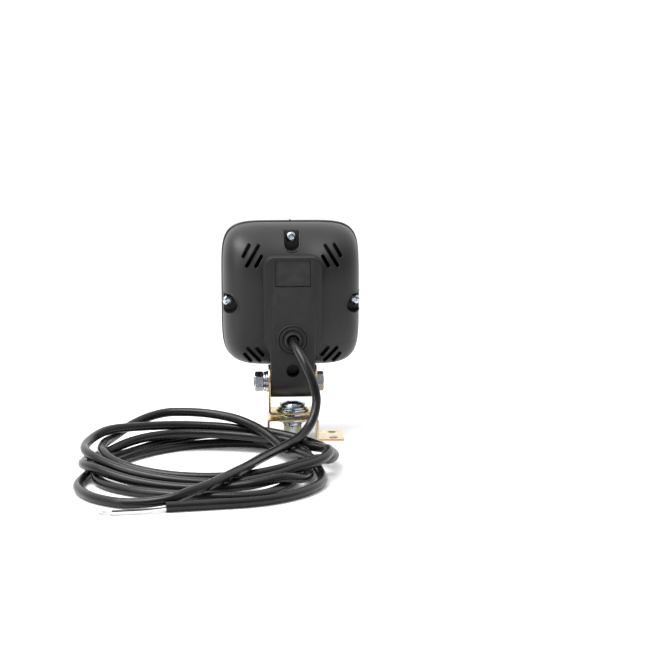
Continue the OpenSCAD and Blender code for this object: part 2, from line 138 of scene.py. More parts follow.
# For each axis, the directions of a flat outline's two coordinates and of its height
AXES = {axis: np.roll(np.eye(3), shift, axis=1) for axis, shift in (("x", 1), ("y", 2), ("z", 0))}


def turned(profile, origin, axis, closed=False, count=96, turn=0.0):
    """Revolves (radius, height) points about an axis. A profile may be a function of the angle instead."""
    rings = []
    angles = np.radians(turn) + np.linspace(0, 2 * np.pi, count, endpoint=False)
    columns = [profile(a - np.radians(turn)) if callable(profile) else profile for a in angles]
    for k in range(len(columns[0])):
        local = [(c[k][0] * math.cos(a), c[k][0] * math.sin(a), c[k][1]) for c, a in zip(columns, angles)]
        rings.append(np.array(local) @ AXES[axis] + np.asarray(origin, float))
    return loft(rings, closed)


def rounded(points, steps=5):
    """Replaces each corner (x, y, radius) of a closed outline with an arc of that radius."""
    out = []
    count = len(points)
    for i, (x, y, r) in enumerate(points):
        p = np.array([x, y], float)
        if r <= 0:
            out.append(p)
            continue
        before = np.array(points[i - 1][:2], float) - p
        after = np.array(points[(i + 1) % count][:2], float) - p
        before, after = before / np.linalg.norm(before), after / np.linalg.norm(after)
        half = math.acos(np.clip(before @ after, -1, 1)) / 2
        centre = p + (before + after) / np.linalg.norm(before + after) * r / math.sin(half)
        first, last = p + before * r / math.tan(half), p + after * r / math.tan(half)
        a0 = math.atan2(*(first - centre)[::-1])
        a1 = math.atan2(*(last - centre)[::-1])
        sweep = (a1 - a0 + math.pi) % (2 * math.pi) - math.pi
        for s in range(steps + 1):
            a = a0 + sweep * s / steps
            out.append(centre + r * np.array([math.cos(a), math.sin(a)]))
    return np.array(out)


def inset(outline, by):
    """Moves a closed outline inwards by that distance, whichever way round it runs."""
    p = np.asarray(outline, float)
    ahead = np.roll(p, -1, axis=0) - p
    ahead /= np.linalg.norm(ahead, axis=1)[:, None] + 1e-12
    behind = np.roll(ahead, 1, axis=0)
    area = np.sum(p[:, 0] * np.roll(p[:, 1], -1) - np.roll(p[:, 0], -1) * p[:, 1])
    turn = 1 if area > 0 else -1
    normal = lambda d: np.stack([-d[:, 1], d[:, 0]], 1) * turn
    both = normal(ahead) + normal(behind)
    scale = np.maximum(np.sum(both * normal(ahead), 1), 0.5)
    return p + both / scale[:, None] * by


def prism(outline, low, high, axis, edge=0.0, steps=3):
    """Solid with that outline across the axis, its two rims rounded by edge."""
    levels = [(0.0, low), (0.0, high)]
    if edge > 0:
        turns = np.linspace(0, np.pi / 2, steps + 1)
        arc = [(edge * (1 - math.sin(a)), edge * (1 - math.cos(a))) for a in turns]
        levels = [(i, low + h) for i, h in arc] + [(i, high - h) for i, h in reversed(arc)]
    rings = []
    for by, at in levels:
        flat = inset(outline, by) if by else np.asarray(outline, float)
        local = np.column_stack([flat, np.full(len(flat), at)])
        rings.append(local @ AXES[axis])
    return loft(rings)


def joined(*solids):
    """Several (points, faces) as one."""
    verts, faces, start = [], [], 0
    for v, f in solids:
        verts.append(np.asarray(v, float))
        faces += [tuple(i + start for i in face) for face in f]
        start += len(v)
    return np.concatenate(verts), faces


def discard(piece):
    spare = piece.data
    bpy.data.objects.remove(piece)
    bpy.data.meshes.remove(spare)


def boolean(piece, solid, operation="DIFFERENCE"):
    """Cuts a solid out of a piece, or joins it on, or keeps what both share."""
    tool = mesh_object("tool", *solid)
    cut = piece.modifiers.new("cut", "BOOLEAN")
    cut.operation = operation
    cut.solver = "EXACT"
    cut.object = tool
    graph = bpy.context.evaluated_depsgraph_get()
    made = bpy.data.meshes.new_from_object(piece.evaluated_get(graph))
    piece.modifiers.clear()
    old = piece.data
    piece.data = made
    bpy.data.meshes.remove(old)
    discard(tool)


def smooth_path(points, step):
    """A smooth curve through the points, resampled to even steps."""
    p = np.asarray(points, float)
    ends = np.vstack([2 * p[0] - p[1], p, 2 * p[-1] - p[-2]])
    fine = []
    for i in range(1, len(ends) - 2):
        p0, p1, p2, p3 = ends[i - 1 : i + 3]
        for t in np.linspace(0, 1, 12, endpoint=False):
            fine.append(0.5 * (2 * p1 + (p2 - p0) * t + (2 * p0 - 5 * p1 + 4 * p2 - p3) * t**2
                               + (3 * p1 - p0 - 3 * p2 + p3) * t**3))
    return even_steps(np.array(fine + [p[-1]]), step)


def even_steps(points, step):
    along = np.r_[0, np.cumsum(np.linalg.norm(np.diff(points, axis=0), axis=1))]
    at = np.linspace(0, along[-1], max(2, round(along[-1] / step) + 1))
    return np.column_stack([np.interp(at, along, points[:, k]) for k in range(3)])


def path_frames(path):
    """Two side directions at each point of a path, carried along it without twist."""
    heading = np.gradient(path, axis=0)
    heading /= np.linalg.norm(heading, axis=1)[:, None]
    side = np.zeros_like(path)
    last = np.array([0.0, 0.0, 1.0])
    if abs(heading[0] @ last) > 0.9:
        last = np.array([1.0, 0.0, 0.0])
    for i, h in enumerate(heading):
        last = last - (last @ h) * h
        last /= np.linalg.norm(last)
        side[i] = last
    return side, np.cross(heading, side)


def tube(path, radius, count=16):
    """Round solid swept along a path."""
    side, up = path_frames(path)
    a = np.linspace(0, 2 * np.pi, count, endpoint=False)
    section = np.column_stack([np.cos(a), np.sin(a)]) * radius
    return loft([p + section[:, :1] * s + section[:, 1:] * u for p, s, u in zip(path, side, up)])


# ---------------------------------------------------------------- materials

class Nodes:
    """Short names for building a material or the world from nodes."""

    def __init__(self, name, world=False):
        self.made = (bpy.data.worlds if world else bpy.data.materials).new(name)
        self.made.use_nodes = True
        self.tree = self.made.node_tree
        self.shader = self.tree.nodes["Background" if world else "Principled BSDF"]
        self.place = self.tree.nodes.new("ShaderNodeTexCoord").outputs["Generated" if world else "Object"]

    def node(self, kind, **inputs):
        node = self.tree.nodes.new(kind)
        for key, value in inputs.items():
            self.put(node.inputs[key.replace("_", " ")], value)
        return node

    def put(self, socket, value):
        if isinstance(value, bpy.types.NodeSocket):
            self.tree.links.new(value, socket)
        else:
            socket.default_value = value

    def set(self, **inputs):
        for key, value in inputs.items():
            self.put(self.shader.inputs[key.replace("_", " ")], value)

    def noise(self, scale, detail=3.0, roughness=0.5, stretch=None, distortion=0.0):
        place = self.place
        if stretch:
            place = self.node("ShaderNodeMapping", Vector=place, Scale=stretch).outputs["Vector"]
        node = self.node("ShaderNodeTexNoise", Vector=place, Scale=scale, Detail=detail, Roughness=roughness,
                         Distortion=distortion)
        return node.outputs["Fac"]

    def ramp(self, value, *stops):
        node = self.node("ShaderNodeValToRGB", Fac=value)
        band = node.color_ramp
        while len(band.elements) < len(stops):
            band.elements.new(0.5)
        for element, (at, colour) in zip(band.elements, stops):
            element.position = at
            element.color = (*colour, 1) if len(colour) == 3 else colour
        return node.outputs["Color"]

    def span(self, value, low, high, start=0.0, end=1.0):
        node = self.node("ShaderNodeMapRange", Value=value)
        for key, number in zip(("From Min", "From Max", "To Min", "To Max"), (start, end, low, high)):
            node.inputs[key].default_value = number
        return node.outputs["Result"]

    def mix(self, a, b, amount):
        node = self.node("ShaderNodeMix")
        node.data_type = "RGBA"
        colours = [s for s in node.inputs if s.type == "RGBA"]
        self.put(node.inputs[0], amount)
        self.put(colours[0], a)
        self.put(colours[1], b)
        return [s for s in node.outputs if s.type == "RGBA"][0]

    def maths(self, operation, *values):
        node = self.node("ShaderNodeMath")
        node.operation = operation
        for socket, value in zip(node.inputs, values):
            self.put(socket, value)
        return node.outputs["Value"]

    def add(self, a, b, weight=1.0):
        return self.maths("MULTIPLY_ADD", b, weight, a)

    def times(self, a, b):
        return self.maths("MULTIPLY", a, b)

    def bump(self, height, distance, strength=1.0):
        node = self.node("ShaderNodeBump", Height=height, Strength=strength, Distance=distance)
        self.put(self.shader.inputs["Normal"], node.outputs["Normal"])

    def outward_edges(self, low, high):
        """0 on flat stretches and 1 on outward edges."""
        point = self.tree.nodes.new("ShaderNodeNewGeometry").outputs["Pointiness"]
        return self.span(point, 0.0, 1.0, low, high)


def grey(v, tint=0.0):
    return (v, v, v * (1 + tint))


def moulded_plastic(name, base, rough):
    """Black moulded plastic: spark-eroded grain, dusty mottling, and paler edges that are partly wear and
    partly a painted highlight.
    """
    m = Nodes(name)
    mottle = m.noise(26, 5, 0.62)
    body = m.ramp(mottle, (0.3, grey(base * 0.88, 0.02)), (0.72, grey(base * 1.12, 0.02)))
    specks = m.ramp(m.noise(420, 2, 0.5), (0.72, grey(0.0)), (0.79, grey(1.0)))
    dust = m.mix(body, (*grey(0.08), 1), m.add(0.0, specks, 0.2))
    # Paler patches on outward edges: partly worn plastic, partly a painted highlight along the edges
    edge_patches = m.span(m.noise(160, 3, 0.6), 0.0, 0.55, 0.4, 0.75)
    worn_and_highlit = m.mix(dust, (*grey(0.03), 1), m.times(m.outward_edges(0.53, 0.62), edge_patches))
    m.set(Base_Color=worn_and_highlit, Roughness=m.span(mottle, rough, rough + 0.012, 0.3, 0.7),
          Specular_IOR_Level=0.43)
    fine = m.noise(2600, 2, 0.5)
    coarse = m.noise(700, 2, 0.5)
    m.bump(m.add(fine, coarse, 0.8), 0.00006, 0.5)
    return m.made


def bright_zinc(name):
    """Blue-white zinc plate with fine rolling marks, faint blue and straw patches and dulled spots."""
    tint, rough = (0.44, 0.50, 0.58), 0.16
    m = Nodes(name)
    cloud = m.noise(150, 4, 0.6, distortion=0.4)
    colour = m.ramp(cloud, (0.25, tuple(c * 0.74 for c in tint)), (0.5, tint), (0.66, (0.58, 0.57, 0.52)),
                    (0.8, (0.50, 0.57, 0.66)))
    marks = m.noise(900, 3, 0.6, stretch=(1, 1, 0.18))
    dulled = m.span(m.add(cloud, marks, 0.6), rough - 0.07, rough + 0.14, 0.5, 1.1)
    m.set(Base_Color=colour, Metallic=1.0, Roughness=dulled)
    m.bump(m.add(marks, m.noise(2400, 2, 0.5), 0.5), 0.00004, 0.35)
    return m.made


def yellow_chromate(name):
    """Yellow passivated zinc: straw gold drifting to rose and pale green, as a thin film does."""
    m = Nodes(name)
    drift = m.noise(70, 4, 0.55, distortion=1.2)
    fine = m.noise(420, 3, 0.6)
    hue = m.add(drift, fine, 0.22)
    colour = m.ramp(hue, (0.38, (0.42, 0.54, 0.38)), (0.50, (0.62, 0.58, 0.34)), (0.60, (0.66, 0.50, 0.34)),
                    (0.68, (0.64, 0.40, 0.38)), (0.78, (0.56, 0.56, 0.40)))
    colour = m.mix(colour, (0.62, 0.50, 0.16, 1), m.outward_edges(0.52, 0.6))
    m.set(Base_Color=colour, Metallic=1.0, Roughness=m.span(fine, 0.2, 0.4, 0.3, 0.7))
    m.bump(m.add(fine, m.noise(1800, 2, 0.5), 0.6), 0.00005, 0.4)
    return m.made


def soft_pvc(name, base, rough, sheen=0.15):
    """Extruded cable sheath: slight drag marks along it, dust and a soft sheen."""
    m = Nodes(name)
    cloud = m.noise(90, 4, 0.6)
    colour = m.ramp(cloud, (0.3, grey(base * 0.8, 0.1)), (0.75, grey(base * 1.35, 0.1)))
    scuffs = m.span(m.noise(240, 5, 0.7), 0.0, 1.0, 0.62, 0.75)
    colour = m.mix(colour, (*grey(0.03, 0.06), 1), m.add(0.0, scuffs, 0.25))
    dulled = m.span(cloud, rough - 0.05, rough + 0.08, 0.3, 0.7)
    m.set(Base_Color=colour, Roughness=dulled, Specular_IOR_Level=0.33, Sheen_Weight=sheen,
          Sheen_Roughness=0.4)
    m.bump(m.add(m.noise(1500, 2, 0.5), cloud, 0.6), 0.00005, 0.5)
    return m.made


def insulation(name, colour):
    """Core insulation, a little darker and duller in patches."""
    m = Nodes(name)
    cloud = m.noise(300, 4, 0.6)
    shade = m.ramp(cloud, (0.3, tuple(c * 0.78 for c in colour)), (0.65, colour))
    m.set(Base_Color=shade, Roughness=m.span(cloud, 0.26, 0.44, 0.3, 0.7))
    m.bump(m.noise(1800, 2, 0.5), 0.00003, 0.4)
    return m.made


def varied(name, noise, dark, light, rough, bump, **more):
    """One noise sets the shade between two colours, the roughness between two values, and the bump."""
    m = Nodes(name)
    cloud = m.noise(*noise)
    shade = m.ramp(cloud, (0.3, dark), (0.7, light))
    m.set(Base_Color=shade, Roughness=m.span(cloud, *rough, 0.3, 0.7), **more)
    m.bump(cloud, *bump)
    return m.made


def plain_metal(name, colour, rough, marks=600):
    dark = tuple(c * 0.8 for c in colour)
    return varied(name, (marks, 4, 0.6), dark, colour, (rough * 0.7, rough * 1.5), (0.00002, 0.3),
                  Metallic=1.0)


def clear_glass(name, tint):
    """Pressed glass with the faint surface wander of a moulding."""
    light = tuple(min(1, c * 1.01) for c in tint)
    return varied(name, (60, 2, 0.5), tint, light, (0.0, 0.02), (0.00015, 0.3),
                  Transmission_Weight=1.0, IOR=1.5)


def mirror_metal(name):
    """Vacuum metallised reflector with faint orange peel."""
    return varied(name, (380, 2, 0.5), (0.84, 0.83, 0.81), (0.90, 0.89, 0.87), (0.05, 0.11),
                  (0.00004, 0.35), Metallic=1.0)


def table_top(name):
    """White table under the lamp with a faint gloss."""
    m = Nodes(name)
    cloud = m.noise(3, 3, 0.5)
    white = m.ramp(cloud, (0.3, grey(0.88)), (0.7, grey(0.9)))
    m.set(Base_Color=white, Roughness=0.9, Specular_IOR_Level=0.0, Emission_Color=(1, 1, 1, 1),
          Emission_Strength=0.07)
    gloss = m.node("ShaderNodeBsdfGlossy", Roughness=0.1)
    both = m.node("ShaderNodeMixShader", Fac=0.06)
    m.tree.links.new(m.shader.outputs["BSDF"], both.inputs[1])
    m.tree.links.new(gloss.outputs["BSDF"], both.inputs[2])
    m.tree.links.new(both.outputs["Shader"], m.tree.nodes["Material Output"].inputs["Surface"])
    return m.made


MATERIAL_LIST = [
    (moulded_plastic, "black_plastic", 0.008, 0.43),
    (moulded_plastic, "bezel_plastic", 0.006, 0.35),
    (soft_pvc, "seal_rubber", 0.014, 0.6, 0.1),
    (soft_pvc, "sheath_pvc", 0.005, 0.27, 0.0),
    (insulation, "core_black", (0.02, 0.02, 0.021)),
    (insulation, "core_white", (0.80, 0.80, 0.78)),
    (bright_zinc, "zinc"),
    (yellow_chromate, "yellow_zinc"),
    (plain_metal, "brass", (0.78, 0.60, 0.26), 0.3),
    (plain_metal, "bulb_metal", (0.70, 0.68, 0.58), 0.3),
    (plain_metal, "tinned_copper", (0.74, 0.74, 0.75), 0.28, 1500),
    (mirror_metal, "reflector_metal"),
    (clear_glass, "lens_glass", (0.97, 0.99, 0.985)),
    (clear_glass, "bulb_glass", (0.99, 0.99, 0.99)),
]
MATERIALS = {}


def make_materials():
    for make, name, *values in MATERIAL_LIST:
        MATERIALS[name] = make(name, *values)


def finish_piece(piece, slot, body, *nodes):
    """Sets a piece's material and the body it rides on, and hides the nodes it stands for."""
    piece.data.materials.clear()
    piece.data.materials.append(MATERIALS[slot])
    if body:
        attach(piece, body)
    if nodes:
        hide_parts(*nodes)
    return piece


def fitted(node, solid, slot, body, **more):
    """A piece made from a solid, with the name of the one node that it stands for."""
    return finish_piece(mesh_object(node, *solid, **more), slot, body, node)


# ---------------------------------------------------------------- sizes shared with the CAD, mm

def box_mm(node):
    low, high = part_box(node)
    return np.array(low) / MM, np.array(high) / MM


BEZEL_LOW, BEZEL_HIGH = box_mm("bezel")
RIM_Y = BEZEL_LOW[1]
BEZEL_FRONT = BEZEL_HIGH[1]
CENTRE_Z = (BEZEL_LOW[2] + BEZEL_HIGH[2]) / 2
BEZEL_A = (BEZEL_HIGH[0] - BEZEL_LOW[0]) / 2
BEZEL_B = (BEZEL_HIGH[2] - BEZEL_LOW[2]) / 2
BEZEL_PROUD = 0.9
HOUSING_A = BEZEL_A - BEZEL_PROUD
HOUSING_B = BEZEL_B - BEZEL_PROUD
DOME_DEPTH = 40.0
WALL = 2.5
SPINE_Y = -12.0
SPINE_HALF = 21.4
SPINE_TOP = 136.0
LEG_HALF = 16.3
LEG_TOP = 64.0
TILT_Z = 42.7
GROMMET_Z = 75.3
GROMMET_BORE, TILT_BORE = 8, 6
LEG_HOLE_Z, LEG_HOLE_R = 52.4, 4.85
LABEL_LOW, LABEL_HIGH, LABEL_DEEP = (-13, 114.6), (13.3, 134.2), 1.2
RIM_SQUARE = 5.7
BACK_SQUARE = 3.2
SCREWS = [(0.0, 149.0), (-47.3, 102.0), (47.3, 102.0)]
POCKETS = [(0.0, 145.0, 5.6), (-46.2, 99.6, 6.1), (46.2, 99.6, 6.1)]
POCKET_TOP = 153.6
POCKET_WALL = 1.6
MOUTH_Z, MOUTH_R, MOUTH_END = 103.3, 4.8, 54.0
POCKET_BACK = -20.0
SEAT_Y = 14.5
VENT_W = 2.7
UPPER_VENTS = [(31.5, 38.1, 35.8, 30.3), (24.7, 37.5, 33.4, 23.4), (22.6, 30.2, 26.6, 23.3)]
LOWER_VENTS = [(35.3, -42.7, 30.8, -48.2), (32.9, -38, 24, -47.9), (26.2, -37.8, 21.8, -43.2)]
CREASE = [(22.5, 69.4), (30, 70.2), (37, 70.9), (43, 71.1), (48.5, 71.1)]
# Points round the housing's outline
OUTLINE = 192

CORD_D = 6.5
CORE_D = 2.0


# ---------------------------------------------------------------- the cord

LEAD_ROUTE = [
    (0, -17.2, 75.3), (0, -24.5, 75.3), (3, -34.5, 71), (7.6, -43, 62.5), (12.6, -48.5, 51),
    (15, -51.5, 40), (14, -56, 32), (12, -60, 26.5), (8, -65, 20.5), (2, -73, 16),
    (-4, -82, 14), (-11, -92, 13), (-25, -122, 13), (-39, -155, 13), (-56, -182, 11.5),
    (-72, -198, 9.5), (-87, -204, 6), (-104, -203, 4), (-120, -197, 3.4), (-136, -181, 3.3),
]
TAIL_ROUTE = [
    (12, -150, 3.3), (4, -172, 3.3), (-12, -190, 3.3), (-32, -201, 3.3),
    (-56, -206, 3.3), (-87, -211, 3.3),
]
# The two cores start inside the cut sheath, this far from the middle of its end
CORE_START_A = np.array([3.0, -1.4, -1.0])
CORE_START_B = np.array([3.0, 1.4, -1.0])
WHITE_ROUTE = [(-100, -215, 1.3), (-114, -216.5, 1.1), (-121, -217, 1.1)]
BLACK_ROUTE = [(-100, -210.5, 1.3), (-112, -211.5, 1.1), (-120, -212, 1.1)]
# Where each loose turn reaches furthest left, back, right and front, with its height there
TURNS = [
    [(-145, -157, 3.3), (-50, -32, 3.3), (4, -87, 3.3), (-41, -189, 3.3)],
    [(-139, -122, 3.3), (-58, -29, 8), (8, -125, 3.5), (-38, -174, 3.4)],
    [(-144, -115, 7), (-76, -41, 13), (17, -122, 8), (-41, -163, 5)],
    [(-145, -100, 14), (-76, -36, 17), (24, -97, 8), (-50, -142, 4)],
    [(-136, -94, 9), (-87, -25, 25)],
]


def quarter_turn(a, b, across_first, count=8):
    """Quarter of an ellipse from one extreme of a turn to the next."""
    a, b = np.array(a, float), np.array(b, float)
    out = []
    for t in np.linspace(0, np.pi / 2, count, endpoint=False):
        quick, slow = math.sin(t), 1 - math.cos(t)
        share = np.array([quick, slow] if across_first else [slow, quick])
        out.append([*(a[:2] + (b[:2] - a[:2]) * share), a[2] + (b[2] - a[2]) * (1 - math.cos(2 * t)) / 2])
    return out


def settled(path, diameter, free, rounds=220):
    """Pushes strands of one cord apart until they lie on and beside each other, none below the table."""
    start, moved = path.copy(), path.copy()
    order = np.arange(len(path))
    apart = np.abs(order[:, None] - order[None, :]) > 6
    clear = diameter * 1.15
    for _ in range(rounds):
        gap = moved[:, None, :] - moved[None, :, :]
        distance = np.sqrt((gap**2).sum(-1)) + 1e-9
        near = (distance < clear) & apart
        push = (np.where(near, (clear - distance) / distance, 0)[..., None] * gap * 0.3).sum(1)
        shift = moved + push / np.sqrt(np.maximum(near.sum(1), 1))[:, None] - start
        shift[1:-1] = shift[1:-1] * 0.6 + 0.2 * (shift[:-2] + shift[2:])
        shift[~free] = 0
        moved = start + shift
        moved[:, 2] = np.maximum(moved[:, 2], diameter / 2)
    return moved


def cord_path():
    """Centreline of the lead: down from the grommet, round the loose coil, and out to the cut end."""
    points = list(LEAD_ROUTE)
    extremes = [e for turn in TURNS for e in turn]
    for i, (a, b) in enumerate(zip(extremes, extremes[1:] + TAIL_ROUTE[:1])):
        points += quarter_turn(a, b, across_first=i % 2 == 1)
    path = smooth_path(points + TAIL_ROUTE, 4.0)
    along = np.r_[0, np.cumsum(np.linalg.norm(np.diff(path, axis=0), axis=1))]
    return settled(path, CORD_D, (along > 130) & (along < along[-1] - 30))


def make_cord():
    path = smooth_path(cord_path(), 1.5)
    cord = mesh_object("cord", *tube(path, CORD_D / 2, 20), sharp=50)
    finish_piece(cord, "sheath_pvc", None, "cord_lead", "cord_coil", "cord_tail")
    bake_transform(cord)
    length = float(np.linalg.norm(np.diff(path, axis=0), axis=1).sum())
    return cord, path, length


def core_end(name, start, bend, slot, node):
    """One insulated core from the cut sheath to its stripped end, giving back that end and its heading for
    the strands past it.
    """
    path = smooth_path([start] + bend, 1.0)
    core = mesh_object(name, *tube(path, CORE_D / 2, 16), sharp=50)
    finish_piece(core, slot, "yoke", node)
    heading = path[-1] - path[-3]
    heading /= np.linalg.norm(heading)
    return core, path[-1], heading


def strands(end, heading, length, count=7):
    """Stripped copper strands, twisted and slightly splayed at the tip."""
    side = np.cross(heading, (0, 0, 1.0))
    side /= np.linalg.norm(side)
    up = np.cross(side, heading)
    solids = []
    for k in range(count):
        points = []
        for s in np.linspace(-0.6, length, 14):
            a = 2 * np.pi * k / count + s * 0.42
            r = (0.42 if k else 0.0) + 0.28 * max(0, s / length) ** 3
            points.append(end + heading * s + (side * math.cos(a) + up * math.sin(a)) * r)
        solids.append(tube(np.array(points), 0.21, 8))
    return joined(*solids)


def make_cord_end(path):
    cut = path[-1]
    white, end_a, head_a = core_end("core_white", cut + CORE_START_A, WHITE_ROUTE, "core_white", "core_live")
    black, end_b, head_b = core_end("core_black", cut + CORE_START_B, BLACK_ROUTE, "core_black", "core_earth")
    bundles = joined(strands(end_a, head_a, 7), strands(end_b, head_b, 6))
    tips = mesh_object("core_strands", *bundles, sharp=50)
    finish_piece(tips, "tinned_copper", "yoke", "core_tips")
    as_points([tuple(p * MM) for p in path[::4]] + [tuple(path[-1] * MM)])


# ---------------------------------------------------------------- housing

def signed_pow(v, e):
    return np.sign(v) * np.abs(v) ** e


def outline_angles(a, b, n):
    """Angles of a rounded square whose points are evenly spread as seen from its middle."""
    polar = np.linspace(0, 2 * np.pi, OUTLINE, endpoint=False)
    x, z = np.cos(polar), np.sin(polar)
    return np.arctan2(signed_pow(z / b, n / 2), signed_pow(x / a, n / 2))


def rim_ring(a, b, y, n=RIM_SQUARE):
    """A rounded square at height y, as points in the row frame."""
    t = outline_angles(a, b, n)
    x, z = a * signed_pow(np.cos(t), 2 / n), b * signed_pow(np.sin(t), 2 / n)
    return np.column_stack([x, np.full(len(x), y), CENTRE_Z + z])


def fullness(t):
    """Softer over the top of the dome, boxier below."""
    s = np.sin(t)
    return np.where(s >= 0, 4 + (2.1 - 4) * s**2, 4 + (4.6 - 4) * s**2)


def dome_ring(a, b, depth, phi):
    t = outline_angles(a, b, RIM_SQUARE)
    e = 2 / fullness(t)
    n = RIM_SQUARE + (BACK_SQUARE - RIM_SQUARE) * math.sin(phi)
    s = math.cos(phi) ** e
    return np.column_stack([
        a * s * signed_pow(np.cos(t), 2 / n),
        RIM_Y - depth * math.sin(phi) ** e,
        CENTRE_Z + b * s * signed_pow(np.sin(t), 2 / n),
    ])


def dome(a, b, depth, lead=0.0, rows=34):
    rings = [dome_ring(a, b, depth, 0) + [0, lead, 0]]
    rings += [dome_ring(a, b, depth, p) for p in np.radians(np.linspace(2.2, 88, rows))]
    return loft(rings)


def spine_outline(grow=0.0, rise=0.0):
    """Outline of the raised spine, from the top edge down into the leg."""
    half, top = SPINE_HALF + grow, SPINE_TOP + rise
    leg = LEG_HALF + 0.4 * grow
    return rounded([
        (-half, top, 7.5), (half, top, 7.5), (half, 73.5, 2.5), (leg + 1.2, 66.8, 2), (leg, 63, 2),
        (leg, 50, 0), (-leg, 50, 0), (-leg, 63, 2), (-leg - 1.2, 66.8, 2), (-half, 73.5, 2.5),
    ], 8)


def spine():
    """Raised pad with rounded edges, a sloped top and a slight draft down into the dome."""
    levels = [(-0.8, -0.8, 0.0), (-0.38, -0.38, 0.1), (-0.1, -0.1, 0.38), (0.0, 0.0, 0.8), (0.15, 0.4, 3.2),
              (0.25, 0.9, 7.0), (0.35, 1.5, 12.0), (0.5, 2.0, 16.0)]
    rings = []
    for grow, rise, depth in levels:
        p = spine_outline(grow, rise)
        rings.append(np.column_stack([p[:, 0], np.full(len(p), SPINE_Y + depth), p[:, 1]]))
    return loft(rings)


def leg():
    """Leg under the housing with its round end about the tilt axis."""
    half_y, low_r = -SPINE_Y, 11.8
    arc = [(half_y * math.cos(a), TILT_Z + low_r * math.sin(a)) for a in np.linspace(0, -np.pi, 33)]
    outline = np.array([(half_y, 70)] + arc + [(-half_y, 70)])
    return prism(outline, -LEG_HALF, LEG_HALF, "x", edge=0.9)


def rod(axis, at, r, low, high, count=48):
    """Plain round cutter along an axis, through the point given by its two other coordinates."""
    return turned([(r, low), (r, high)], at, axis, count=count)


def slot_outline(x1, z1, x2, z2, width, steps=10):
    """Slot with round ends between two points."""
    a = math.atan2(z2 - z1, x2 - x1)
    arc = np.linspace(-np.pi / 2, np.pi / 2, steps)
    end = [(x2 + width / 2 * math.cos(a + s), z2 + width / 2 * math.sin(a + s)) for s in arc]
    start = [(x1 - width / 2 * math.cos(a + s), z1 - width / 2 * math.sin(a + s)) for s in arc]
    return np.array(end + start)


def rectangle(x0, z0, x1, z1):
    return np.array([(x0, z0), (x1, z0), (x1, z1), (x0, z1)])


def along_y(outline, low, high):
    """Prism along Y from an outline of X and Z."""
    rings = [np.column_stack([outline[:, 0], np.full(len(outline), y), outline[:, 1]]) for y in (low, high)]
    return loft(rings)


def pocket_outline(i, grow=0.0):
    """Outline of a screw pocket: a U open upwards at the top, and open outwards at the sides."""
    x, z, r = POCKETS[i]
    r += grow
    if i == 0:
        arc = [(r * math.cos(a), z + r * math.sin(a)) for a in np.linspace(-np.pi, 0, 25)]
        return np.array(arc + [(r, POCKET_TOP + grow), (-r, POCKET_TOP + grow)])
    out = -1 if x < 0 else 1
    mouth_x, mouth_r = abs(SCREWS[i][0]), MOUTH_R + grow
    # Round from where the mouth's lower edge leaves the pocket, under it and up its inner side
    low_edge = math.asin((MOUTH_Z - mouth_r - z) / r)
    round_end = [(abs(x) + r * math.cos(a), z + r * math.sin(a))
                 for a in np.linspace(low_edge, -1.16 * np.pi, 36)]
    upper = [(mouth_x + mouth_r * math.cos(a), MOUTH_Z + mouth_r * math.sin(a))
             for a in np.linspace(0.86 * np.pi, 0.5 * np.pi, 12)]
    points = [(MOUTH_END, MOUTH_Z - mouth_r)] + round_end + upper + [(MOUTH_END, MOUTH_Z + mouth_r)]
    return np.array([(out * px, pz) for px, pz in points])


def vents():
    for side in (-1, 1):
        for x1, z1, x2, z2 in UPPER_VENTS + LOWER_VENTS:
            yield slot_outline(side * x1, CENTRE_Z + z1, side * x2, CENTRE_Z + z2, VENT_W)


def surface_line(surface, outline, lift, closed=True):
    """Lays points of X and Z on the back of a surface, seen along +Y. Points that miss it are dropped."""
    points = np.asarray(outline, float)
    if closed:
        points = np.vstack([points, points[:1]])
    points = even_steps(np.column_stack([points, np.zeros(len(points))]), 0.6)
    found = []
    for x, z, _ in points:
        hit = surface.ray_cast(Vector((x, -40, z)), Vector((0, 1, 0)))[0]
        if hit is not None and hit.y < RIM_Y - 0.5:
            found.append((x, hit.y - lift, z))
    return np.array(found)


